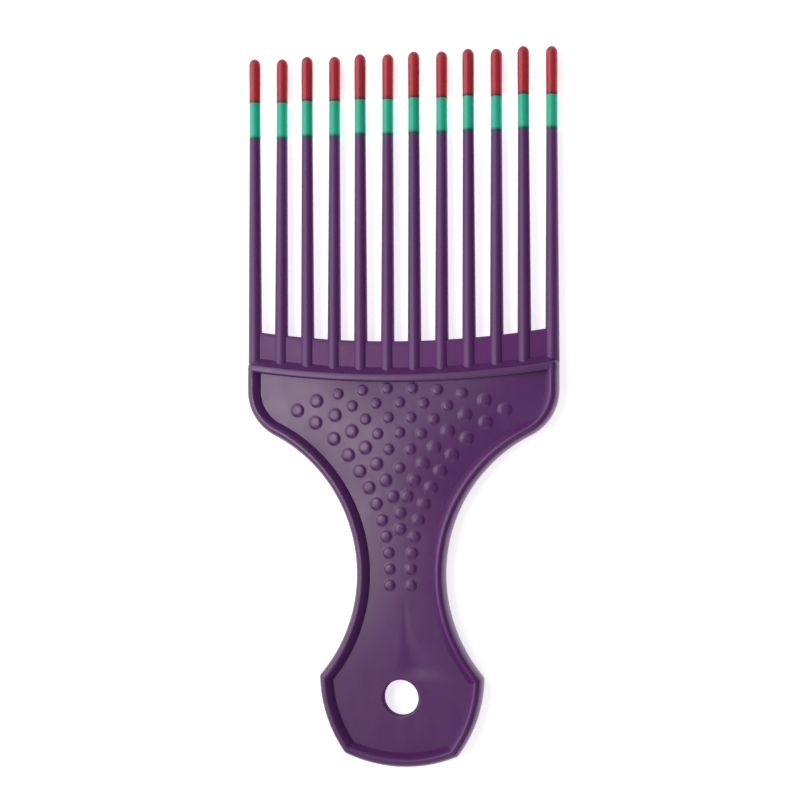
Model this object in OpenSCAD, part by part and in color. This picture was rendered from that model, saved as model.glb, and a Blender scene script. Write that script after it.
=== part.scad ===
// Wide tooth comb of the afro pick kind: a waisted handle and a broad head with twelve long
// round teeth, whose ends carry two dip coats. Millimetres. The comb lies flat on the back of
// its rim, with its front face towards +Z and its teeth towards +Y. X = 0 is its middle line,
// Y = 0 is half way along it, and Z = 0 is the plane that it rests on.
// Lengths called "from the butt" run along Y from the butt end of the handle.

/* [Overall] */
// Length from the butt to the tooth tips
comb_len = 185; // [180:1:195]
// Width of the head over its sides
head_w = 82; // [80:0.5:84]
// Thickness of the rim, which is the thickest part
rim_t = 6.6; // [6.2:0.2:8]

/* [Outline] */
// Radius of the head's lower corners
head_corner_r = 13.25; // [12:0.25:14.5]
// Width of the handle at its waist
waist_w = 23.3; // [22:0.1:25]
// Radius of the hollow sides that form the waist
waist_r = 40; // [39:0.5:41]
// Distance of the waist from the butt
waist_y = 49.5; // [49:0.5:51]
// Radius of the bulged sides of the butt
hip_r = 34.15; // [33:0.05:35]
// How far each bulged side's centre lies beyond the middle line
hip_offset = 12.65; // [12.4:0.05:13]
// Distance of the bulged sides' centres from the butt
hip_y = 23.5; // [23:0.5:24]
// Radius of the butt end
butt_r = 36.5; // [34:0.5:40]
// Rounding of the four sharp corners of the butt
butt_corner_r = 1.2; // [0.8:0.1:1.6]

/* [Rim and plate] */
// Width of the rim, measured in from the outline
rim_w = 3.2; // [3:0.1:3.8]
// Thickness of the recessed plate inside the rim
plate_t = 3.8; // [3.2:0.2:4.2]
// Radius of the hanging hole
hole_r = 4.6; // [3:0.1:5.5]
// Distance of the hanging hole's centre from the butt
hole_y = 17.75; // [16:0.25:20]

/* [Cross rib and web] */
// Width of the cross rib, along the comb
rib_w = 2.2; // [1.6:0.1:3]
// Thickness of the cross rib
rib_t = 6; // [5:0.2:6.6]
// Distance of the cross rib's middle from the butt
rib_y = 100.2; // [99:0.1:101]
// Radius of the cross rib's curve
rib_r = 270; // [240:5:300]
// Thickness of the web between the tooth roots
web_t = 2; // [1.4:0.2:3]
// Distance of the web's upper edge from the butt, on the middle line
web_y = 109.75; // [107:0.25:113]
// Radius of the web's upper edge
web_r = 257; // [240:1:280]

/* [Teeth] */
// Number of teeth
tooth_count = 12; // [12:1:12]
// Distance between neighbouring teeth
tooth_pitch = 7.14; // [7:0.02:7.2]
// Radius of a tooth at its root
tooth_root_r = 1.81; // [1.7:0.01:1.9]
// Radius of the bare tooth inside its coats, at the tip
tooth_tip_r = 1.32; // [1.28:0.01:1.34]
// How far each tip stands out of the middle plane, by turns to the front and the back
tooth_stagger = 0.7; // [0:0.1:1]
// Space left between the cross rib and the root of a tooth
root_gap = 0.6; // [0.4:0.1:1]

/* [Dip coats] */
// Length of the coated end of a tooth
coat_len = 21.45; // [18:0.05:25]
// Length of the red coat on the middle line of the comb
red_len = 12.2; // [9:0.1:13]
// Slope of the red dip line across the comb
red_slope = 0.011; // [0:0.001:0.02]
// Outer radius of the green coat where it starts
green_r = 1.49; // [1.48:0.01:1.52]
// Outer radius of the red coat
red_r = 1.53; // [1.53:0.01:1.55]
// Thickness of each coat at the very tip
coat_tip_t = 0.1; // [0.08:0.01:0.12]

/* [Grip dots] */
// Radius of the largest dots, at the head end of the two outer rows
dot_outer_r = 1.7; // [1.5:0.05:1.8]
// Radius of the dots of the inner rows, and of the outer rows at the waist
dot_inner_r = 1.4; // [1.2:0.05:1.45]
// Height of a dot above the plate
dot_h = 0.45; // [0.3:0.05:0.6]
// Distance of the outermost row from the waist's edge
dot_first_row = 8.9; // [8.5:0.1:9.3]
// Distance between neighbouring rows
dot_row_pitch = 4.8; // [4.6:0.1:5]
// Step between the dots of an outer row, along the comb
dot_step = 4.2; // [4:0.05:4.3]
// Step between the dots of an inner row, along its arc
dot_arc_step = 4.95; // [4.8:0.05:5]

/* [Hidden] */

$fn = 96;
purple = [0.38, 0.24, 0.46];
green = [0.18, 0.68, 0.56];
red = [0.66, 0.15, 0.22];

mid_z = rim_t / 2;
plate_top = mid_z + plate_t / 2;
// How far a cutting shape runs past the solid that it cuts
cut = 1;
// Height above the waist at which the outer dots reach their full radius
dot_shrink_y = 30;
// Distance of the rim's crest in from the outline, and width of the crest's flat
crest_in = 1.5;
crest_flat = 0.7;
// Height of the upright band along the rim's outermost line
wall_h = 1;

// ---- Outline of the handle and the head ----

hip_c = [-hip_offset, hip_y];
butt_c = [0, butt_r];
waist_c = [waist_w / 2 + waist_r, waist_y];
corner_x = head_w / 2 - head_corner_r;
corner_rise = sqrt(pow(waist_r + head_corner_r, 2) - pow(waist_c[0] - corner_x, 2));
corner_c = [corner_x, waist_y + corner_rise];
rib_c = [0, rib_y + rib_r];
web_c = [0, web_y + web_r];

// Direction of a vector, from 0 to 360 degrees
function turn(v) = (atan2(v[1], v[0]) + 360) % 360;

// The point that lies r0 from c0 and r1 from c1, to the left of the way from c0 to c1
function meet(c0, r0, c1, r1) =
    let (
        d = norm(c1 - c0),
        u = (c1 - c0) / d,
        along = (r0 * r0 - r1 * r1 + d * d) / (2 * d),
        across = sqrt(r0 * r0 - along * along)
    )
    c0 + along * u + across * [-u[1], u[0]];

// Points of an arc after its first one
function arc(c, r, a0, a1, n) =
    [for (i = [1:n]) c + r * [cos(a0 + (a1 - a0) * i / n), sin(a0 + (a1 - a0) * i / n)]];

// Y of the cross rib's edge at x: its lower edge for side = 1, and its upper edge for side = -1
function rib_edge(x, side) = rib_c[1] - sqrt(pow(rib_r + side * rib_w / 2, 2) - x * x);

// The right half of the outline, moved in by d, from the butt up to the cross rib. It runs
// along the butt, the bulged side, the hollow waist, the head's corner and the head's side.
function right_half(d, rise) =
    let (
        fillet = max(butt_corner_r - d, 0.3),
        low = meet(butt_c, butt_r - d - fillet, hip_c, hip_r - d - fillet),
        high = meet(waist_c, waist_r + d + fillet, hip_c, hip_r - d - fillet),
        side_x = head_w / 2 - d,
        low_a = turn(low - butt_c),
        low_b = turn(low - hip_c),
        high_a = turn(high - hip_c),
        high_b = turn(waist_c - high),
        neck_a = turn(high - waist_c),
        neck_b = turn(corner_c - waist_c)
    )
    concat(
        [[0, d]],
        arc(butt_c, butt_r - d, 270, low_a, 5),
        arc(low, fillet, low_a, low_b, 2),
        arc(hip_c, hip_r - d, low_b, high_a + (high_a < 180 ? 360 : 0), 6),
        arc(high, fillet, high_a - (high_a > 180 ? 360 : 0), high_b, 2),
        arc(waist_c, waist_r + d, neck_a, neck_b, 16),
        arc(corner_c, head_corner_r - d, neck_b + 180, 360, 7),
        [[side_x, rib_edge(side_x, 1) + rise]]
    );

// The whole outline moved in by d, from the left end of the cross rib round to its right end
function outline(d, rise = 0) =
    let (half = right_half(d, rise), n = len(half))
    concat([for (i = [n - 1:-1:1]) [-half[i][0], half[i][1]]], half);

module lay_down() {
    translate([0, -comb_len / 2, 0]) children();
}

// ---- Plate, dots, rim, rib and web ----

module handle_plate() {
    color(purple) lay_down() difference() {
        translate([0, 0, mid_z - plate_t / 2]) linear_extrude(plate_t) difference() {
            polygon(outline(rim_w, cut));
            translate(rib_c) circle(rib_r + rib_w / 2, $fn = 720);
        }
        translate([0, hole_y, mid_z]) cylinder(h = plate_t + 2 * cut, r = hole_r, center = true);
    }
}

// The dots stand in five V-shaped rows, which keep to arcs round the two waist centres
function row_r(k) = waist_r + dot_first_row + k * dot_row_pitch;
function on_middle(p) = p[0] < dot_inner_r ? [0, p[1]] : p;

// Right side of row k with even steps along the comb, from the dot at top down
function even_rows(k, top, first_step, n) = [
    for (s = [0:n - 1])
    let (y = top - (s > 0 ? first_step + (s - 1) * dot_step : 0))
    on_middle([waist_c[0] - sqrt(pow(row_r(k), 2) - pow(y - waist_y, 2)), y])
];

// Right side of row k with even steps along its arc, from the dot on the middle line up
function even_arcs(k, first_step, n) = [
    for (s = [0:n])
    let (
        run = s > 0 ? first_step + (s - 1) * dot_arc_step : 0,
        a = acos(-waist_c[0] / row_r(k)) - run / row_r(k) * 180 / PI
    )
    on_middle(waist_c + row_r(k) * [cos(a), sin(a)])
];

outer_dots = concat(even_rows(0, 91.9, 3.2, 12), even_rows(1, 94.35, 3.7, 9));
inner_dots = concat(even_arcs(2, 5.6, 5), even_arcs(3, 4.9, 3), even_arcs(4, 4.9, 1));

// Radius of an outer dot, which shrinks from the head down to the waist
function outer_r(y) =
    dot_inner_r + (dot_outer_r - dot_inner_r) * min(1, max(0, (y - waist_y) / dot_shrink_y));

module dot(r) {
    rotate_extrude($fn = 32) polygon(concat(
        [[0, 0]],
        [for (a = [0:22.5:90]) [r * cos(a), dot_h * sin(a)]]
    ));
}

module both_sides(p) {
    for (x = p[0] > 0 ? [-p[0], p[0]] : [0]) translate([x, p[1]]) children();
}

module dot_rows() {
    for (p = outer_dots) both_sides(p) dot(outer_r(p[1]));
    for (p = inner_dots) both_sides(p) dot(dot_inner_r);
}

module grip_dots_front() {
    color(purple) lay_down() translate([0, 0, plate_top]) dot_rows();
}

module grip_dots_back() {
    color(purple) lay_down() translate([0, 0, rim_t - plate_top]) mirror([0, 0, 1]) dot_rows();
}

// Section of the rim's front half as [distance in from the outline, height above the middle
// plane]: up the rounded outer side, over the crest, then down to the plate
rim_front = concat(
    [[0, wall_h / 2]],
    [for (a = [32, 60]) [crest_in * (1 - cos(a)), mid_z * sin(a)]],
    [[crest_in - crest_flat / 2, mid_z], [crest_in + crest_flat / 2, mid_z]],
    [[(crest_in + rim_w) / 2, mid_z - 0.3], [rim_w, plate_t / 2]]
);
rim_section = concat(
    rim_front,
    [for (i = [len(rim_front) - 1:-1:0]) [rim_front[i][0], -rim_front[i][1]]]
);

// One closed tube of the rim's section, swept along the outline
module rim() {
    strips = [for (p = rim_section) [for (q = outline(p[0])) [q[0], q[1], mid_z + p[1]]]];
    k = len(strips);
    n = len(strips[0]);
    walls = [for (i = [0:k - 1]) for (j = [0:n - 2])
        let (a = i * n + j, b = ((i + 1) % k) * n + j)
        each [[a, b + 1, a + 1], [a, b, b + 1]]];
    left_end = [for (i = [1:k - 2]) [0, (i + 1) * n, i * n]];
    right_end = [for (i = [1:k - 2]) [n - 1, (i + 1) * n - 1, (i + 2) * n - 1]];
    color(purple) lay_down()
        polyhedron([for (strip = strips) each strip], concat(walls, left_end, right_end));
}

module rib_band() {
    intersection() {
        difference() {
            circle(rib_r + rib_w / 2, $fn = 720);
            circle(rib_r - rib_w / 2, $fn = 720);
        }
        translate([-head_w / 2 - 0.1, -rib_r - rib_w]) square([head_w + 0.2, rib_r]);
    }
}

module cross_rib() {
    color(purple) lay_down() translate([0, rib_c[1], mid_z - rib_t / 2])
        linear_extrude(rib_t) rib_band();
}

module tooth_web() {
    reach = tooth_x(tooth_count);
    color(purple) lay_down() difference() {
        translate([0, 0, mid_z - web_t / 2]) linear_extrude(web_t) difference() {
            intersection() {
                translate(rib_c) circle(rib_r - rib_w / 2, $fn = 720);
                translate([-reach, rib_y]) square([2 * reach, rib_w + web_y]);
            }
            translate(web_c) circle(web_r, $fn = 720);
        }
        for (i = [1:tooth_count]) on_tooth(i) tooth_solid(i);
    }
}

// ---- Teeth and their coats ----

function tooth_x(i) = (i - (tooth_count + 1) / 2) * tooth_pitch;
function root_y(i) = rib_edge(tooth_x(i), -1) + root_gap;
function tooth_len(i) = comb_len - root_y(i);
function lean(i) = (i % 2 == 1 ? 1 : -1) * asin(tooth_stagger / tooth_len(i));
function red_start(i) = tooth_len(i) - red_len - red_slope * tooth_x(i);

// Side of a bullet as [radius, distance from the root], from its foot to the point of its nose
function bullet(foot_r, foot, nose_r, tip) =
    concat(
        [[foot_r, foot]],
        [for (a = [0:15:90]) [nose_r * cos(a), tip - nose_r + nose_r * sin(a)]]
    );

// Radius of the bare tooth at a distance from its root
function bare_r(i, along) =
    let (taper_end = tooth_len(i) - 2 * coat_tip_t - tooth_tip_r)
    tooth_root_r + (tooth_tip_r - tooth_root_r) * along / taper_end;

function bare_side(i, from) =
    bullet(bare_r(i, from), from, tooth_tip_r, tooth_len(i) - 2 * coat_tip_t);
// The red coat's inside is the green coat's outside, so both come from this one slope
function green_side_r(i, along) =
    let (from = tooth_len(i) - coat_len, nose_r = tooth_tip_r + coat_tip_t)
    green_r + (nose_r - green_r) * (along - from) / (coat_len - coat_tip_t - nose_r);
function green_side(i, from) =
    bullet(green_side_r(i, from), from, tooth_tip_r + coat_tip_t, tooth_len(i) - coat_tip_t);

function reversed(list) = [for (k = [len(list) - 1:-1:0]) list[k]];

module on_tooth(i) {
    translate([tooth_x(i), root_y(i), mid_z]) rotate([lean(i) - 90, 0, 0]) children();
}

module tooth_solid(i) {
    rotate_extrude($fn = 48) polygon(concat([[0, 0]], bare_side(i, 0)));
}

module tooth(i) {
    color(purple) lay_down() on_tooth(i) tooth_solid(i);
}

module green_coat(i) {
    from = tooth_len(i) - coat_len;
    color(green) lay_down() on_tooth(i) rotate_extrude($fn = 48)
        polygon(concat(green_side(i, from), reversed(bare_side(i, from))));
}

module red_tip(i) {
    from = red_start(i);
    outside = bullet(red_r, from, red_r, tooth_len(i));
    color(red) lay_down() on_tooth(i) rotate_extrude($fn = 48)
        polygon(concat(outside, reversed(green_side(i, from))));
}

handle_plate();
grip_dots_front();
grip_dots_back();
rim();
cross_rib();
tooth_web();
tooth(1);  // tooth_01
tooth(2);  // tooth_02
tooth(3);  // tooth_03
tooth(4);  // tooth_04
tooth(5);  // tooth_05
tooth(6);  // tooth_06
tooth(7);  // tooth_07
tooth(8);  // tooth_08
tooth(9);  // tooth_09
tooth(10);  // tooth_10
tooth(11);  // tooth_11
tooth(12);  // tooth_12
green_coat(1);  // green_coat_01
green_coat(2);  // green_coat_02
green_coat(3);  // green_coat_03
green_coat(4);  // green_coat_04
green_coat(5);  // green_coat_05
green_coat(6);  // green_coat_06
green_coat(7);  // green_coat_07
green_coat(8);  // green_coat_08
green_coat(9);  // green_coat_09
green_coat(10);  // green_coat_10
green_coat(11);  // green_coat_11
green_coat(12);  // green_coat_12
red_tip(1);  // red_tip_01
red_tip(2);  // red_tip_02
red_tip(3);  // red_tip_03
red_tip(4);  // red_tip_04
red_tip(5);  // red_tip_05
red_tip(6);  // red_tip_06
red_tip(7);  // red_tip_07
red_tip(8);  // red_tip_08
red_tip(9);  // red_tip_09
red_tip(10);  // red_tip_10
red_tip(11);  // red_tip_11
red_tip(12);  // red_tip_12
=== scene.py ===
"""Looks of the wide tooth comb: finished meshes, materials, studio and camera.

The comb lies on its back on the floor, its tooth tips towards +Y. Lengths are in metres.
Shapes are worked out in millimetres from the butt end, as the design's own drawing is, and
laid down in the frame at the end.
"""

import math

import bmesh
import bpy
import numpy as np
from mathutils import Matrix, Vector
from mathutils.geometry import delaunay_2d_cdt


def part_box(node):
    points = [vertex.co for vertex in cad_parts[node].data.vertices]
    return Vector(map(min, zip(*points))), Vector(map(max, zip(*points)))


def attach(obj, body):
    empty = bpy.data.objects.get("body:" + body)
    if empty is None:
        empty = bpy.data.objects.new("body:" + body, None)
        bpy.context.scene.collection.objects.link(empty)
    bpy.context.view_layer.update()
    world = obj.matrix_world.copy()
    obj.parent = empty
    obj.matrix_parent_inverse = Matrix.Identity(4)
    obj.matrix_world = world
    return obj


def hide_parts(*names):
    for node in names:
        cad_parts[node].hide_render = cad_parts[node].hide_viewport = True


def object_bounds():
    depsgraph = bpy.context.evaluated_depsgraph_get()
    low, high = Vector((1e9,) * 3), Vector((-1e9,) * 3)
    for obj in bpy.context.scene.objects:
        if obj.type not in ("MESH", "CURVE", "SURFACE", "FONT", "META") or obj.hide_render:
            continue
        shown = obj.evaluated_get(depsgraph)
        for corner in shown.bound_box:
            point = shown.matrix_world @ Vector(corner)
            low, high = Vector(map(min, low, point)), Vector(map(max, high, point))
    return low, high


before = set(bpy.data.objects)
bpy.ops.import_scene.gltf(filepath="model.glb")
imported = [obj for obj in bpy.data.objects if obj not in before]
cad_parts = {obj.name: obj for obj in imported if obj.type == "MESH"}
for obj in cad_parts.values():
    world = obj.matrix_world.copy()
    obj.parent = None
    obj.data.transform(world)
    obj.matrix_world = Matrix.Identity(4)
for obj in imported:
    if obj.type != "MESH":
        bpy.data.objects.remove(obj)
cad_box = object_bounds()

MM = 0.001

# ---- Sizes read from the frame, in millimetres ----

RIM_LOW, RIM_HIGH = (np.array(c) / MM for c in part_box("rim"))
RIB_LOW, RIB_HIGH = (np.array(c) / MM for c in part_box("cross_rib"))
WEB_LOW, WEB_HIGH = (np.array(c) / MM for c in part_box("tooth_web"))
DOT_LOW, DOT_HIGH = (np.array(c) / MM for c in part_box("grip_dots_front"))

BUTT_Y = RIM_LOW[1]
HEAD_HALF = RIM_HIGH[0]
MID_Z = (RIM_LOW[2] + RIM_HIGH[2]) / 2
CREST = RIM_HIGH[2] - MID_Z
DOT_H = 0.8 * (DOT_HIGH[2] - DOT_LOW[2])
TEETH = 12

# ---- Outline, in millimetres from the butt ----

HEAD_CORNER_R = 13.25
WAIST_HALF = 11.65
WAIST_R = 40.0
WAIST_Y = 49.5
HIP_R = 34.15
HIP_OFFSET = 12.65
HIP_Y = 23.5
BUTT_R = 36.5
BUTT_CORNER_R = 1.2
# Distances to the arcs of the butt and hips count only below this height
BUTT_TOP_Y = 32.0
RIB_Y = 100.2
RIB_R = 270.0
RIB_HALF_W = 1.1
WEB_Y = 109.75
WEB_R = 257.0
HOLE_Y = 17.75
HOLE_R = 4.6
HOLE_EDGE = 0.25
# Share by which the rim's crest comes down to the cross rib's own height
RIM_DIP = 0.09
# How far the handle's skin runs on under the cross rib
UNDER_RIB = 0.5

HIP_C = np.array([-HIP_OFFSET, HIP_Y])
BUTT_C = np.array([0.0, BUTT_R])
WAIST_C = np.array([WAIST_HALF + WAIST_R, WAIST_Y])
CORNER_X = HEAD_HALF - HEAD_CORNER_R
CORNER_C = np.array([
    CORNER_X,
    WAIST_Y + math.sqrt((WAIST_R + HEAD_CORNER_R) ** 2 - (WAIST_C[0] - CORNER_X) ** 2),
])
HOLE_C = np.array([0.0, HOLE_Y])


def turn(v):
    """Direction of a vector, from 0 to a full turn."""
    return math.atan2(v[1], v[0]) % math.tau


def meet(c0, r0, c1, r1):
    """The point r0 from c0 and r1 from c1, to the left of the way from c0 to c1."""
    d = np.linalg.norm(c1 - c0)
    u = (c1 - c0) / d
    along = (r0 * r0 - r1 * r1 + d * d) / (2 * d)
    across = math.sqrt(r0 * r0 - along * along)
    return c0 + along * u + across * np.array([-u[1], u[0]])


def arc(c, r, a0, a1, n):
    """Points of an arc after its first one."""
    a = a0 + (a1 - a0) * np.arange(1, n + 1) / n
    return c + r * np.stack([np.cos(a), np.sin(a)], axis=1)


def rib_line(x):
    """Height of the cross rib's middle line above the butt, at x."""
    return RIB_Y + RIB_R - np.sqrt(RIB_R ** 2 - x * x)


def half_outline(d):
    """Right half of the outline moved in by d, from the butt up to the cross rib."""
    fillet = max(BUTT_CORNER_R - d, 0.3)
    low = meet(BUTT_C, BUTT_R - d - fillet, HIP_C, HIP_R - d - fillet)
    high = meet(WAIST_C, WAIST_R + d + fillet, HIP_C, HIP_R - d - fillet)
    low_a, low_b = turn(low - BUTT_C), turn(low - HIP_C)
    high_a, high_b = turn(high - HIP_C), turn(WAIST_C - high)
    neck_a, neck_b = turn(high - WAIST_C), turn(CORNER_C - WAIST_C)
    high_a -= math.tau if high_a > math.pi else 0
    side_x = HEAD_HALF - d
    side = np.linspace(CORNER_C[1], rib_line(side_x) + UNDER_RIB, 13)[1:]
    return np.concatenate([
        [[0.0, d]],
        arc(BUTT_C, BUTT_R - d, 1.5 * math.pi, low_a, 24),
        arc(low, fillet, low_a, low_b, 6),
        arc(HIP_C, HIP_R - d, low_b, high_a + math.tau, 30),
        arc(high, fillet, high_a, high_b, 6),
        arc(WAIST_C, WAIST_R + d, neck_a, neck_b, 110),
        arc(CORNER_C, HEAD_CORNER_R - d, neck_b + math.pi, math.tau, 36),
        np.stack([np.full(12, side_x), side], axis=1),
    ])


def outline(d):
    """The outline moved in by d, from the left end of the cross rib round to the right end."""
    half = half_outline(d)
    return np.concatenate([half[:0:-1] * [-1, 1], half])


def edge_distance(p):
    """How far each point of the field lies inside the outline."""
    x, y = np.abs(p[:, 0]), p[:, 1]
    waist = np.hypot(x - WAIST_C[0], y - WAIST_C[1]) - WAIST_R
    side = HEAD_HALF - x
    corner = HEAD_CORNER_R - np.hypot(x - CORNER_C[0], y - CORNER_C[1])
    to_waist = WAIST_C - CORNER_C
    right_of_join = to_waist[0] * (y - CORNER_C[1]) - to_waist[1] * (x - CORNER_C[0]) > 0
    in_corner = right_of_join & (y < CORNER_C[1])
    head = np.where(in_corner, np.minimum(corner, side), side)
    hip = HIP_R - np.hypot(x - HIP_C[0], y - HIP_C[1])
    butt = BUTT_R - np.hypot(x, y - BUTT_C[1])
    low = np.where(y < BUTT_TOP_Y, np.minimum(hip, butt), np.inf)
    return np.minimum(np.minimum(waist, head), low)


def smooth_step(t):
    t = np.clip(t, 0, 1)
    return t * t * (3 - 2 * t)


# ---- Surface of the field, as height above the middle plane ----

# The rim's outer side is an ellipse at 1, and fuller below that
SIDE_FULLNESS = 0.88
FIELD_IN = 3.65
CREST_IN = 1.6
# Share of the way from the crest to the field over which the crest stays level
CREST_FLAT = 0.14
# Power of the fall from the crest: 1 is a straight slope
CREST_FALL = 1.4
EDGE_HEAD_Z = 1.5
# The handle thins from here down to the butt, by this much on each side
THIN_TOP_Y = 52.0
EDGE_THINNING = 0.35
# The field swells within this distance of its edges, and is flat further in
SWELL_REACH = 20.0
# Slope of the swell at the field's edge
SWELL_SLOPE_HEAD = 0.125
SWELL_SLOPE_NECK = 0.04
# The slope changes from the neck's to the head's between these heights
SLOPE_NECK_Y = 52.0
SLOPE_HEAD_Y = 82.0
# Share of the swell that is lost along the cross rib
RIB_SINK = 0.5
SWELL_START_Y = 20.0
SWELL_FULL_Y = 44.0

# Dots: five rows on each side, which keep to arcs round the waist's centre
DOT_FIRST_ROW = 8.9
DOT_ROW_PITCH = 4.8
DOT_STEP = 4.2
DOT_ARC_STEP = 4.95
DOT_BIG_R = 1.7
DOT_SMALL_R = 1.4
DOT_SHRINK_Y = 30.0


def row_r(k):
    return WAIST_R + DOT_FIRST_ROW + k * DOT_ROW_PITCH


def dot_places():
    """Centre and radius of every dot."""
    dots = []

    def add(x, y, r):
        if x < DOT_SMALL_R:
            dots.append((0.0, y, r))
        else:
            dots.extend([(x, y, r), (-x, y, r)])

    for k, top, first, count in ((0, 91.9, 3.2, 12), (1, 94.35, 3.7, 9)):
        for s in range(count):
            y = top - (first + (s - 1) * DOT_STEP if s else 0)
            x = WAIST_C[0] - math.sqrt(row_r(k) ** 2 - (y - WAIST_Y) ** 2)
            grown = min(1, max(0, (y - WAIST_Y) / DOT_SHRINK_Y))
            add(x, y, DOT_SMALL_R + (DOT_BIG_R - DOT_SMALL_R) * grown)
    for k, first, count in ((2, 5.6, 5), (3, 4.9, 3), (4, 4.9, 1)):
        for s in range(count + 1):
            run = first + (s - 1) * DOT_ARC_STEP if s else 0
            a = math.acos(-WAIST_C[0] / row_r(k)) - run / row_r(k)
            x, y = WAIST_C[0] + row_r(k) * math.cos(a), WAIST_C[1] + row_r(k) * math.sin(a)
            add(x, y, DOT_SMALL_R)
    return dots


DOTS = dot_places()
DOT_RINGS = (0.0, 0.22, 0.42, 0.58, 0.7, 0.79, 0.86, 0.92, 0.97, 1.02, 1.08, 1.16)
DOT_SKIRT = 1.16


def dot_profile(t):
    """Height of a dot as a share of its full height, at t radii from its centre."""
    dome = np.clip(1 - t ** 6, 0, 1) ** 0.75
    return 0.12 * np.clip(1 - (t / DOT_SKIRT) ** 2, 0, 1) ** 2 + 0.88 * dome


# The crease below the dots, which opens into a shallow dart above the hanging hole. The
# surface falls across it to the right, and comes back up slowly further on.
CREASE_X = 0.7
CREASE_W = 0.6
DART_W = 7.0
DART_DRIFT = 0.5
DART_TOP_Y = 46.0
DART_MOUTH_Y = 23.0
DART_FALL = 0.052


def dart(p):
    """Depth of the crease and of the dart that it opens into."""
    t = np.clip((DART_TOP_Y - p[:, 1]) / (DART_TOP_Y - DART_MOUTH_Y), 0, 1)
    width = CREASE_W + (DART_W - CREASE_W) * t ** 3
    u = (p[:, 0] - CREASE_X - DART_DRIFT * t ** 3) / width - 0.5
    across = np.where(u < 0, smooth_step(1 + u), smooth_step(1 - u / 1.6))
    ends = smooth_step(t / 0.4) * smooth_step((p[:, 1] - DART_MOUTH_Y + 1) / 4.5)
    return DART_FALL * width * across * ends


def swell(inside, reach):
    """Rise at a distance in from an edge: steepest at the edge and level at reach."""
    left = 1 - np.clip(inside / reach, 0, 1)
    return 1 - left ** 2


def field_height(p):
    """The field without its dots: it swells from the rim towards its middle."""
    x, y = np.abs(p[:, 0]), p[:, 1]
    from_waist = np.hypot(x - WAIST_C[0], y - WAIST_C[1]) - WAIST_R - FIELD_IN
    middle = np.hypot(WAIST_C[0], y - WAIST_C[1]) - WAIST_R - FIELD_IN
    reach = np.minimum(middle, SWELL_REACH)
    shape = swell(from_waist, reach) * swell(HEAD_HALF - FIELD_IN - x, SWELL_REACH)
    from_rib = np.maximum(rib_line(x) - RIB_HALF_W - y, 0)
    shape = shape * (1 - RIB_SINK * (1 - swell(from_rib, SWELL_REACH)))
    shape = shape * smooth_step((y - SWELL_START_Y) / (SWELL_FULL_Y - SWELL_START_Y))
    base = EDGE_HEAD_Z - EDGE_THINNING * np.clip((THIN_TOP_Y - y) / THIN_TOP_Y, 0, 1) ** 1.5
    headward = smooth_step((y - SLOPE_NECK_Y) / (SLOPE_HEAD_Y - SLOPE_NECK_Y))
    slope = SWELL_SLOPE_NECK + (SWELL_SLOPE_HEAD - SWELL_SLOPE_NECK) * headward
    return base + slope / 2 * reach * shape - dart(p)


def dotted_height(p):
    z = field_height(p)
    for x, y, r in DOTS:
        t = np.hypot(p[:, 0] - x, p[:, 1] - y) / r
        near = t < DOT_SKIRT
        z[near] += DOT_H * dot_profile(t[near])
    return z


# ---- Mesh building ----

CREASE_ANGLE = math.radians(38)


def new_object(name, points_mm, faces):
    """A mesh object from points in millimetres from the butt, smooth except at its creases."""
    points = (np.asarray(points_mm) + [0, BUTT_Y, MID_Z]) * MM
    mesh = bpy.data.meshes.new(name)
    mesh.from_pydata([tuple(p) for p in points], [], faces)
    bm = bmesh.new()
    bm.from_mesh(mesh)
    bmesh.ops.remove_doubles(bm, verts=bm.verts, dist=1e-7)
    bmesh.ops.recalc_face_normals(bm, faces=bm.faces)
    for face in bm.faces:
        face.smooth = True
    for edge in bm.edges:
        edge.smooth = edge.calc_face_angle(0.0) < CREASE_ANGLE
    bm.to_mesh(mesh)
    bm.free()
    obj = bpy.data.objects.new(name, mesh)
    bpy.context.scene.collection.objects.link(obj)
    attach(obj, "root")
    return obj


def strip(a, b, count, closed=False):
    """Faces between two rows of points whose first indices are a and b."""
    last = count if closed else count - 1
    return [(a + j, a + (j + 1) % count, b + (j + 1) % count, b + j) for j in range(last)]


def fan_arc(c, r, a0, a1, n):
    a = np.radians(np.linspace(a0, a1, n))
    return np.stack([c[0] + r * np.cos(a), c[1] + r * np.sin(a)], axis=1)


def outer_side(angle):
    """The outer side's share of its width and of its height, from the parting line to the crest."""
    return 1 - math.cos(angle) ** SIDE_FULLNESS, math.sin(angle) ** SIDE_FULLNESS


def rim_profile():
    """The rim's front half, from the parting line to the field.

    Each entry is the distance in from the outline, the height of the outer side, and how far
    in it lies between the crest and the field, from 0 to 1.
    """
    outer = []
    for angle in np.radians((0, 2, 6, 12, 20, 29, 38, 47, 56, 65, 74, 82, 87, 90)):
        inward, up = outer_side(angle)
        outer.append((CREST_IN * inward, CREST * up, 0.0))
    steps = (0.07, CREST_FLAT, 0.17, 0.21, 0.26, 0.32, 0.4, 0.5, 0.61, 0.74, 0.87, 1.0)
    return outer + [(CREST_IN + (FIELD_IN - CREST_IN) * t, CREST, t) for t in steps]


def rim_height(ring, foot, high, t):
    """Height of a ring of the rim: a narrow level crest, then a steepening fall to the field."""
    z = high - (high - foot) * (max(t - CREST_FLAT, 0) / (1 - CREST_FLAT)) ** CREST_FALL
    near_rib = smooth_step((ring[:, 1] - rib_line(ring[:, 0]) + 2.5) / 2)
    return z * (1 - RIM_DIP * near_rib)


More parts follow.
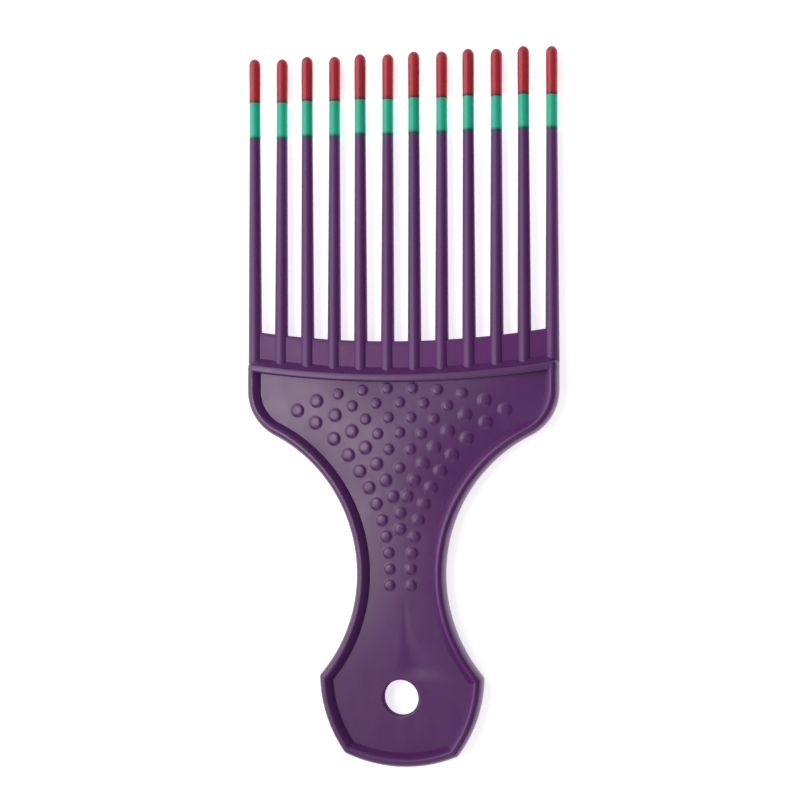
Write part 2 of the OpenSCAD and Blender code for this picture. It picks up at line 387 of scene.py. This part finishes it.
def hex_grid(spacing):
    """Even points over the field, clear of its edges, of the hole and of the dots."""
    rows = np.arange(FIELD_IN, RIB_Y + 3, spacing * math.sqrt(3) / 2)
    points = []
    for k, y in enumerate(rows):
        x = np.arange(-HEAD_HALF, HEAD_HALF, spacing) + (spacing / 2 if k % 2 else 0)
        points.append(np.stack([x, np.full(len(x), y)], axis=1))
    p = np.concatenate(points)
    keep = edge_distance(p) > FIELD_IN + spacing * 0.6
    keep &= p[:, 1] < rib_line(p[:, 0]) + UNDER_RIB - spacing * 0.4
    keep &= np.hypot(p[:, 0], p[:, 1] - HOLE_Y) > HOLE_R + HOLE_EDGE + spacing * 0.5
    for x, y, r in DOTS:
        keep &= np.hypot(p[:, 0] - x, p[:, 1] - y) > r * DOT_SKIRT + spacing * 0.3
    return p[keep]


def dot_points():
    points = []
    for x, y, r in DOTS:
        points.append([[x, y]])
        for k, t in enumerate(DOT_RINGS[1:], 1):
            n = 8 if k == 1 else 14 if k == 2 else 24
            a = math.tau * (np.arange(n) + 0.5 * (k % 2)) / n
            points.append(np.stack([x + r * t * np.cos(a), y + r * t * np.sin(a)], axis=1))
    return np.concatenate(points)


def circle(c, r, n):
    a = math.tau * np.arange(n) / n
    return np.stack([c[0] + r * np.cos(a), c[1] + r * np.sin(a)], axis=1)


HOLE_SIDES = 96
GRID_SPACING = 0.55


def field_triangles(edge):
    """Triangles of the field: its points in the plane, and faces that leave the hole open."""
    left, right = edge[0], edge[-1]
    x = np.linspace(right[0], left[0], 160)[1:-1]
    top = np.stack([x, rib_line(x) + UNDER_RIB], axis=1)
    border = np.concatenate([edge, top])
    hole = circle(HOLE_C, HOLE_R + HOLE_EDGE, HOLE_SIDES)
    points = np.concatenate([border, hole, dot_points(), hex_grid(GRID_SPACING)])
    n, m = len(border), len(hole)
    edges = [(i, (i + 1) % n) for i in range(n)]
    edges += [(n + i, n + (i + 1) % m) for i in range(m)]
    flat, _, faces, _, _, _ = delaunay_2d_cdt([Vector(p) for p in points], edges, [], 0, 1e-6)
    flat = np.array([tuple(v) for v in flat])
    centre = np.array([flat[list(f)].mean(axis=0) for f in faces])
    keep = edge_distance(centre) > FIELD_IN - 1e-3
    keep &= centre[:, 1] < rib_line(centre[:, 0]) + UNDER_RIB + 1e-3
    keep &= np.hypot(centre[:, 0], centre[:, 1] - HOLE_Y) > (HOLE_R + HOLE_EDGE) * 0.998
    return flat, [f for f, k in zip(faces, keep) if k], top, hole


def make_handle():
    """Field, dots, rim and hanging hole as one closed skin, alike on the front and the back."""
    profile = rim_profile()
    rings = [outline(d) for d, _, _ in profile]
    foot = dotted_height(rings[-1])
    ring_z = [rim_height(ring, foot, high, t) for ring, (_, high, t) in zip(rings, profile)]
    ring_z[-1] = foot
    flat, triangles, top, hole = field_triangles(rings[-1])
    points, faces = [], []

    def add(xy, z):
        first = sum(len(p) for p in points)
        points.append(np.column_stack([xy, np.broadcast_to(z, len(xy))]))
        return first

    count = len(rings[0])
    hole_z = dotted_height(hole)
    for side in (1, -1):
        rows = [add(ring, side * z) for ring, z in zip(rings, ring_z)]
        for a, b in zip(rows, rows[1:]):
            faces.extend(strip(a, b, count))
        first = add(flat, side * dotted_height(flat))
        faces.extend(tuple(first + i for i in f) for f in triangles)
        lip = []
        for angle in np.linspace(0, math.pi / 2, 7):
            r = HOLE_R + HOLE_EDGE * (1 - math.sin(angle))
            drop = HOLE_EDGE * (1 - math.cos(angle))
            lip.append(add(circle(HOLE_C, r, HOLE_SIDES), side * (hole_z - drop)))
        for a, b in zip(lip, lip[1:]):
            faces.extend(strip(a, b, HOLE_SIDES, closed=True))
        if side == 1:
            front_lip = lip[-1]
    faces.extend(strip(front_lip, lip[-1], HOLE_SIDES, closed=True))
    # The end wall, which the cross rib covers
    right = np.array([ring[-1] for ring in rings])
    right_z = np.array([z[-1] for z in ring_z])
    section = np.concatenate([right, top, right[::-1] * [-1, 1]])
    wall_z = np.concatenate([right_z, dotted_height(top), right_z[::-1]])
    front, back = add(section, wall_z), add(section, -wall_z)
    faces.extend(strip(front, back, len(section)))
    handle = new_object("moulded_handle", np.concatenate(points), faces)
    # The wall of the hanging hole takes the second, darker copy of the purple: painted shade.
    for face in handle.data.polygons:
        out = math.hypot(face.center[0] / MM, face.center[1] / MM - BUTT_Y - HOLE_Y)
        face.material_index = 1 if out < HOLE_R + HOLE_EDGE * 0.5 else 0
    return handle


def rounded_rect(half_w, half_h, r, n=5):
    """Closed section with rounded corners, as (across, up)."""
    corners = ((1, 1, 0), (-1, 1, 90), (-1, -1, 180), (1, -1, 270))
    return np.concatenate([
        fan_arc((sx * (half_w - r), sy * (half_h - r)), r, a, a + 90, n) for sx, sy, a in corners
    ])


# Reach of the flank at the middle plane, and the share of the height over which it rises
RIB_FLANK = 2.65
RIB_FLANK_TOP = 0.85
# No flank this near to an end, and a full one only this much further in
FLANK_END = 0.4
FLANK_FADE = 1.8
RIB_END_NARROWING = 0.25
# Clearance of the rib's ends inside the outline
RIB_CLEARANCE = 0.02


def rib_section(half_w, half_h, flank):
    """The rib's section: rounded edges, and sloped flanks down to the web on the teeth's side."""
    section = rounded_rect(half_w, half_h, min(0.6, half_h * 0.8), 7)
    section = np.concatenate([section, [[half_w, 0.0]]])
    level = np.abs(section[:, 1]) / half_h
    sloped = flank * np.clip(1 - level / RIB_FLANK_TOP, 0, 1)
    section[:, 0] += np.where(section[:, 0] > 0, sloped, 0)
    return section


def make_rib():
    """The cross rib: a bar with rounded edges, its ends rounded as the rim's outer side is."""
    half_w = RIB_HALF_W
    half_h = (RIB_HIGH[2] - RIB_LOW[2]) / 2
    end = np.radians((90, 87, 82, 74, 65, 56, 45, 33, 22, 12, 6))
    x_end = [HEAD_HALF - CREST_IN * outer_side(a)[0] for a in end]
    x_main = np.linspace(-x_end[0], x_end[0], 121)[1:-1]
    stations = [(-x, a) for x, a in zip(x_end, end)][::-1]
    stations += [(x, math.pi / 2) for x in x_main] + list(zip(x_end, end))
    points, faces = [], []
    for x, a in stations:
        h = half_h * outer_side(a)[1]
        w = half_w - RIB_END_NARROWING * (1 - math.sin(a))
        fade = float(smooth_step((HEAD_HALF - abs(x) - FLANK_END) / FLANK_FADE))
        section = rib_section(w, h, RIB_FLANK * fade)
        turned_x = x - section[:, 0] * x / RIB_R
        turned_x = np.clip(turned_x, RIB_CLEARANCE - HEAD_HALF, HEAD_HALF - RIB_CLEARANCE)
        points.append(np.column_stack([turned_x, rib_line(x) + section[:, 0], section[:, 1]]))
    n = len(points[0])
    for k in range(len(points) - 1):
        faces.extend(strip(k * n, (k + 1) * n, n, closed=True))
    last = (len(points) - 1) * n
    faces += [tuple(range(n)), tuple(last + j for j in range(n))]
    return new_object("rib_bar", np.concatenate(points), faces)


# ---- Teeth and coats ----

def tooth_facts(i):
    """Root point, direction, length, root radius and coat starts of tooth i, from the frame."""
    low, high = (np.array(c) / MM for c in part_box(f"tooth_{i:02d}"))
    green_low, _ = (np.array(c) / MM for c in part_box(f"green_coat_{i:02d}"))
    red_low, red_high = (np.array(c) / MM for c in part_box(f"red_tip_{i:02d}"))
    root = np.array([(low[0] + high[0]) / 2, low[1] - BUTT_Y, 0.0])
    red_middle = (red_low + red_high) / 2 - [0, BUTT_Y, MID_Z]
    way = red_middle - root
    way /= np.linalg.norm(way)
    length = (red_high[1] - BUTT_Y - root[1]) / way[1]
    return {
        "root": root,
        "way": way,
        "length": length,
        "root_r": (high[0] - low[0]) / 2,
        "green": (green_low[1] - BUTT_Y - root[1]) / way[1],
        "red": (red_low[1] - BUTT_Y - root[1]) / way[1],
        "tip_r": (red_high[0] - red_low[0]) / 2,
    }


ROOT_OVERLAP = 0.3
BARE_TIP_R = 1.32
GREEN_R = 1.49
COAT_TIP_T = 0.1
# Height of the red coat's lower edge over the green coat
RED_LIP = 0.035
SIDES = 40


def turned(name, tooth, profile):
    """A body turned round the tooth's own axis, from a list of (distance from root, radius)."""
    root, way = tooth["root"], tooth["way"]
    out = np.array([1.0, 0.0, 0.0])
    up = np.cross(way, out)
    a = math.tau * np.arange(SIDES) / SIDES
    ring = np.outer(np.cos(a), out) + np.outer(np.sin(a), up)
    points = np.concatenate([root + way * s + ring * max(r, 1e-4) for s, r in profile])
    faces = []
    for k in range(len(profile) - 1):
        faces.extend(strip(k * SIDES, (k + 1) * SIDES, SIDES, closed=True))
    last = (len(profile) - 1) * SIDES
    faces += [tuple(range(SIDES)), tuple(last + j for j in range(SIDES))]
    return new_object(name, points, faces)


def nose(tip, r, n=12):
    """Round end of a profile."""
    a = np.radians(np.linspace(0, 88, n))
    return [(tip - r + r * math.sin(t), r * math.cos(t)) for t in a]


def bare_r(tooth, s):
    taper = tooth["length"] - 2 * COAT_TIP_T - BARE_TIP_R
    return tooth["root_r"] + (BARE_TIP_R - tooth["root_r"]) * s / taper


def green_side_r(tooth, s):
    start = tooth["green"]
    run = tooth["length"] - start - COAT_TIP_T - (BARE_TIP_R + COAT_TIP_T)
    return GREEN_R + (BARE_TIP_R + COAT_TIP_T - GREEN_R) * (s - start) / run


def make_tooth(i, tooth):
    foot = rib_line(tooth["root"][0]) + RIB_HALF_W - ROOT_OVERLAP - tooth["root"][1]
    end = tooth["length"] - 2 * COAT_TIP_T
    profile = [(s, bare_r(tooth, max(s, 0))) for s in np.linspace(foot, end - BARE_TIP_R, 44)[:-1]]
    profile += nose(end, BARE_TIP_R)
    return turned(f"moulded_tooth_{i:02d}", tooth, profile)


def make_green(i, tooth):
    start, end = tooth["green"], tooth["length"] - COAT_TIP_T
    inner = bare_r(tooth, start)
    lip = [
        (start, inner - 0.02),
        (start, inner + 0.01),
        (start + 0.06, GREEN_R - 0.008),
        (start + 0.18, GREEN_R),
    ]
    body = [(s, green_side_r(tooth, s)) for s in np.linspace(start + 0.4, end - 1.5, 14)]
    return turned(f"green_dip_{i:02d}", tooth, lip + body + nose(end, BARE_TIP_R + COAT_TIP_T))


def make_red(i, tooth):
    start, end = tooth["red"], tooth["length"]
    tip_r = tooth["tip_r"]
    under = green_side_r(tooth, start)
    lip_r = under + RED_LIP
    lip = [
        (start, under - 0.02),
        (start, under + 0.012),
        (start + 0.07, lip_r - 0.006),
        (start + 0.2, lip_r),
    ]
    swell_end = end - tip_r * 1.15
    body = []
    for t in np.linspace(0, 1, 14)[1:-1]:
        along = start + 0.2 + (swell_end - start - 0.2) * t
        body.append((along, lip_r + (tip_r - lip_r) * float(smooth_step(t / 0.75))))
    cap = []
    for a in np.radians(np.linspace(0, 88, 14)):
        cap.append((swell_end + (end - swell_end) * math.sin(a), tip_r * math.cos(a)))
    return turned(f"red_dip_{i:02d}", tooth, lip + body + cap)


WEB_EDGE_R = 0.45


def make_web():
    """The thin wall between the tooth roots, with a round upper edge."""
    half_t = (WEB_HIGH[2] - WEB_LOW[2]) / 2
    reach = WEB_HIGH[0]
    edge_r = WEB_EDGE_R
    x = np.linspace(-reach, reach, 1 + int(2 * reach / 0.32))
    bottom = rib_line(x)
    top = WEB_Y + WEB_R - np.sqrt(WEB_R ** 2 - x * x)
    rows = []
    for t in np.linspace(0, 1, 12):
        y = bottom + (top - edge_r - bottom) * t
        rows.append((y, np.full(len(x), half_t)))
    for a in np.radians(np.linspace(0, 90, 6))[1:]:
        y = top - edge_r + edge_r * math.sin(a)
        rows.append((y, np.full(len(x), half_t - edge_r * (1 - math.cos(a)))))
    points, faces = [], []
    for side in (1, -1):
        for y, z in rows:
            points.append(np.column_stack([x, y, side * z]))
    n, k = len(x), len(rows)
    for side in range(2):
        for j in range(k - 1):
            faces.extend(strip((side * k + j) * n, (side * k + j + 1) * n, n))
    faces.extend(strip((k - 1) * n, (2 * k - 1) * n, n))
    faces.extend(strip(0, k * n, n))
    for col in (0, n - 1):
        loop = [j * n + col for j in range(k)] + [(k + j) * n + col for j in range(k - 1, -1, -1)]
        faces.append(tuple(loop))
    return new_object("web_wall", np.concatenate(points), faces)


# ---- Materials ----

def node_tools(name):
    mat = bpy.data.materials.new(name)
    mat.use_nodes = True
    tree = mat.node_tree
    shader = tree.nodes["Principled BSDF"]

    def node(kind, **values):
        made = tree.nodes.new(kind)
        for key, value in values.items():
            if key in made.inputs:
                made.inputs[key].default_value = value
            else:
                setattr(made, key, value)
        return made

    return mat, tree, shader, node


def plastic(name, color, rough, specular, grain=0.05, wear_and_highlight=0.12, lip_shade=None):
    """Moulded or dipped plastic: cloudy colour, fine grain, faint scuffs, and lighter convex edges,
    partly as from use and partly a painted highlight.

    A dip coat also gets painted shade along its lower edge, for the shadow at the coat's lip, given
    as where it starts on the middle line, how that changes with x, how wide it is (in metres), and
    the dark colour painted there.
    """
    mat, tree, shader, node = node_tools(name)
    link = tree.links.new
    place = node("ShaderNodeTexCoord").outputs["Object"]

    cloud = node("ShaderNodeTexNoise", Scale=55.0, Detail=3.0, Roughness=0.55)
    link(place, cloud.inputs["Vector"])
    tint = node("ShaderNodeValToRGB")
    tint.color_ramp.elements[0].position = 0.3
    tint.color_ramp.elements[1].position = 0.7
    tint.color_ramp.elements[0].color = (*[c * 0.92 for c in color], 1)
    tint.color_ramp.elements[1].color = (*[c * 1.08 for c in color], 1)
    link(cloud.outputs["Fac"], tint.inputs["Fac"])

    # Convex edges get a lighter colour: partly as from use, partly a painted edge highlight.
    edge = node("ShaderNodeValToRGB")
    edge.color_ramp.elements[0].position = 0.52
    edge.color_ramp.elements[1].position = 0.62
    edge.color_ramp.elements[1].color = (wear_and_highlight, wear_and_highlight, wear_and_highlight, 1)
    link(node("ShaderNodeNewGeometry").outputs["Pointiness"], edge.inputs["Fac"])
    worn_and_lit_edge = node("ShaderNodeMixRGB", Color2=(*[c * 1.5 + 0.01 for c in color], 1))
    link(edge.outputs["Color"], worn_and_lit_edge.inputs["Fac"])
    link(tint.outputs["Color"], worn_and_lit_edge.inputs["Color1"])
    skin = worn_and_lit_edge.outputs["Color"]
    # Painted shade: a dark band along the coat's lower edge stands in for the shadow at its lip.
    if lip_shade:
        start, slope, width, under = lip_shade
        parts = node("ShaderNodeSeparateXYZ")
        link(place, parts.inputs["Vector"])
        level = node("ShaderNodeMath", operation="MULTIPLY_ADD")
        level.inputs[1].default_value = slope
        link(parts.outputs["X"], level.inputs[0])
        link(parts.outputs["Y"], level.inputs[2])
        lip_shade_fade = node("ShaderNodeMapRange", interpolation_type="SMOOTHSTEP")
        lip_shade_fade.inputs["From Min"].default_value = start
        lip_shade_fade.inputs["From Max"].default_value = start + width
        link(level.outputs["Value"], lip_shade_fade.inputs["Value"])
        coat = node("ShaderNodeMixRGB", Color1=(*under, 1))
        link(lip_shade_fade.outputs["Result"], coat.inputs["Fac"])
        link(skin, coat.inputs["Color2"])
        skin = coat.outputs["Color"]
    link(skin, shader.inputs["Base Color"])

    # Every range of roughness keeps clear of about 0.274, near which renders show worm-like marks.
    stretch = node("ShaderNodeMapping")
    stretch.inputs["Scale"].default_value = (300.0, 170.0, 300.0)
    link(place, stretch.inputs["Vector"])
    scuff = node("ShaderNodeTexNoise", Scale=1.0, Detail=2.0, Roughness=0.5)
    link(stretch.outputs["Vector"], scuff.inputs["Vector"])
    gloss = node("ShaderNodeMapRange")
    gloss.inputs["From Min"].default_value = 0.3
    gloss.inputs["From Max"].default_value = 0.7
    gloss.inputs["To Min"].default_value = rough - 0.02
    gloss.inputs["To Max"].default_value = rough + 0.03
    link(scuff.outputs["Fac"], gloss.inputs["Value"])
    link(gloss.outputs["Result"], shader.inputs["Roughness"])

    fine = node("ShaderNodeTexNoise", Scale=330.0, Detail=1.0)
    link(place, fine.inputs["Vector"])
    bump = node("ShaderNodeBump", Strength=grain, Distance=0.0001)
    link(fine.outputs["Fac"], bump.inputs["Height"])
    link(bump.outputs["Normal"], shader.inputs["Normal"])

    shader.inputs["Specular IOR Level"].default_value = specular
    return mat


def floor_material():
    """Pale paper sweep."""
    mat, tree, shader, node = node_tools("paper")
    cloud = node("ShaderNodeTexNoise", Scale=3.0, Detail=2.0)
    ramp = node("ShaderNodeValToRGB")
    ramp.color_ramp.elements[0].color = (0.90, 0.90, 0.90, 1)
    ramp.color_ramp.elements[1].color = (0.92, 0.92, 0.92, 1)
    tree.links.new(cloud.outputs["Fac"], ramp.inputs["Fac"])
    tree.links.new(ramp.outputs["Color"], shader.inputs["Base Color"])
    shader.inputs["Roughness"].default_value = 0.9
    shader.inputs["Specular IOR Level"].default_value = 0.1
    tree.links.new(ramp.outputs["Color"], shader.inputs["Emission Color"])
    shader.inputs["Emission Strength"].default_value = FLOOR_GLOW
    return mat


# ---- Studio and camera ----

SKY = 0.15
FLOOR_GAP = 0.00005
FLOOR_GLOW = 0.78
KEY_COLOR = (1.0, 0.94, 0.88)
# Name, bearing from +X and height in degrees, distance and width in metres, power in watts
LIGHTS = (
    ("key_left", (184.5, 67.5), 0.42, 0.144, 0.185),
    ("panel_left", (168, 40), 0.7, 1.09, 3.92),
    ("side_tips", (90, 40), 0.7, 0.63, 0.59),
    ("side_butt", (270, 40), 0.7, 0.63, 0.59),
)

VIEW_YAW = math.radians(11.33)
VIEW_PITCH = math.radians(-1.22)
VIEW_ROLL = math.radians(0.09)
VIEW_DISTANCE = 0.4111
VIEW_SHIFT = (0.00032, -0.002)
VIEW_ANGLE = math.radians(28.32)


def make_camera():
    """A camera above the comb, over its right side, so that the front face turns to the left."""
    cy, sy = math.cos(VIEW_YAW), math.sin(VIEW_YAW)
    cp, sp = math.cos(VIEW_PITCH), math.sin(VIEW_PITCH)
    cr, sr = math.cos(VIEW_ROLL), math.sin(VIEW_ROLL)
    roll = Matrix(((cr, -sr, 0), (sr, cr, 0), (0, 0, 1)))
    yaw = Matrix(((cy, 0, -sy), (0, 1, 0), (sy, 0, cy)))
    pitch = Matrix(((1, 0, 0), (0, cp, -sp), (0, sp, cp)))
    turn_in = pitch @ yaw @ roll
    middle = Vector((0, -VIEW_SHIFT[1], MID_Z * MM))
    place = middle - turn_in.transposed() @ Vector((VIEW_SHIFT[0], 0, -VIEW_DISTANCE))
    data = bpy.data.cameras.new("camera")
    data.angle = VIEW_ANGLE
    camera = bpy.data.objects.new("camera", data)
    camera.matrix_world = Matrix.Translation(place) @ turn_in.transposed().to_4x4()
    bpy.context.scene.collection.objects.link(camera)
    bpy.context.scene.camera = camera


def area_light(name, place, size, power, color=(1, 1, 1)):
    """A round soft box that faces the origin."""
    data = bpy.data.lights.new(name, "AREA")
    data.shape = "DISK"
    data.size = size
    data.energy = power
    data.color = color
    light = bpy.data.objects.new(name, data)
    light.location = place
    light.rotation_euler = (-place).to_track_quat("-Z", "Y").to_euler()
    bpy.context.scene.collection.objects.link(light)


def make_studio():
    """A pale floor that glows a little, four soft boxes and an even sky."""
    bm = bmesh.new()
    bmesh.ops.create_grid(bm, x_segments=8, y_segments=8, size=3.0)
    mesh = bpy.data.meshes.new("floor")
    bm.to_mesh(mesh)
    bm.free()
    floor = bpy.data.objects.new("floor", mesh)
    floor.location = (0, 0, cad_box[0][2] - FLOOR_GAP)
    floor.data.materials.append(floor_material())
    bpy.context.scene.collection.objects.link(floor)

    for name, (bearing, rise), distance, size, power in LIGHTS:
        flat = math.cos(math.radians(rise))
        way = Vector((
            flat * math.cos(math.radians(bearing)),
            flat * math.sin(math.radians(bearing)),
            math.sin(math.radians(rise)),
        ))
        color = KEY_COLOR if name == "key_left" else (1, 1, 1)
        area_light(name, way * distance, size, power, color)

    world = bpy.data.worlds.new("sky")
    world.use_nodes = True
    sky = world.node_tree.nodes["Background"]
    sky.inputs["Color"].default_value = (1.0, 1.0, 1.0, 1)
    sky.inputs["Strength"].default_value = SKY
    bpy.context.scene.world = world
    bpy.context.scene.view_settings.view_transform = "Standard"


# ---- Assembly ----

def finish_piece(obj, material, slot, *nodes):
    obj.data.materials.append(material)
    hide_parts(*nodes)


def build():
    # The moulding is one plastic. The teeth and the web get lighter copies of its colour, as
    # painted light, and the wall of the hanging hole a darker copy, as painted shade.
    purple = plastic("purple_plastic", (0.107, 0.0165, 0.146), 0.3, 0.75)
    lit_tooth_purple = plastic("purple_teeth_painted_light", (0.124, 0.023, 0.166), 0.44, 0.7)
    lit_web_purple = plastic("purple_thin_wall_painted_light", (0.133, 0.0165, 0.168), 0.31, 0.4)
    shaded_bore = plastic("purple_bore_painted_shade", (0.07, 0.012, 0.09), 0.6, 0.1)
    green_low = [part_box(f"green_coat_{i:02d}")[0][1] for i in (1, TEETH)]
    red_low = [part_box(f"red_tip_{i:02d}")[0][1] for i in (1, TEETH)]
    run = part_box(f"red_tip_{TEETH:02d}")[1][0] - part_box("red_tip_01")[1][0]
    red_slope = (red_low[0] - red_low[1]) / run
    # Dark colours for the coats' lower edges: painted shade at their lips.
    green_lip_shade = (sum(green_low) / 2, 0.0, 0.0013, (0.03, 0.06, 0.08))
    red_lip_shade = (sum(red_low) / 2, red_slope, 0.0013, (0.06, 0.05, 0.04))
    green = plastic(
        "green_dip", (0.018, 0.585, 0.37), 0.34, 0.65,
        grain=0.04, wear_and_highlight=0.06, lip_shade=green_lip_shade,
    )
    red = plastic(
        "red_dip", (0.545, 0.031, 0.052), 0.19, 0.6,
        grain=0.04, wear_and_highlight=0.06, lip_shade=red_lip_shade,
    )

    handle = make_handle()
    finish_piece(
        handle, purple, "purple_plastic",
        "handle_plate", "grip_dots_front", "grip_dots_back", "rim",
    )
    # Painted shade: the darker copy for the wall of the hanging hole.
    handle.data.materials.append(shaded_bore)
    finish_piece(make_rib(), purple, "purple_plastic", "cross_rib")
    teeth = [tooth_facts(i) for i in range(1, TEETH + 1)]
    finish_piece(make_web(), lit_web_purple, "purple_plastic", "tooth_web")
    for i, tooth in enumerate(teeth, 1):
        finish_piece(make_tooth(i, tooth), lit_tooth_purple, "purple_plastic", f"tooth_{i:02d}")
        finish_piece(make_green(i, tooth), green, "green_coat", f"green_coat_{i:02d}")
        finish_piece(make_red(i, tooth), red, "red_coat", f"red_tip_{i:02d}")


make_camera()
make_studio()
build()
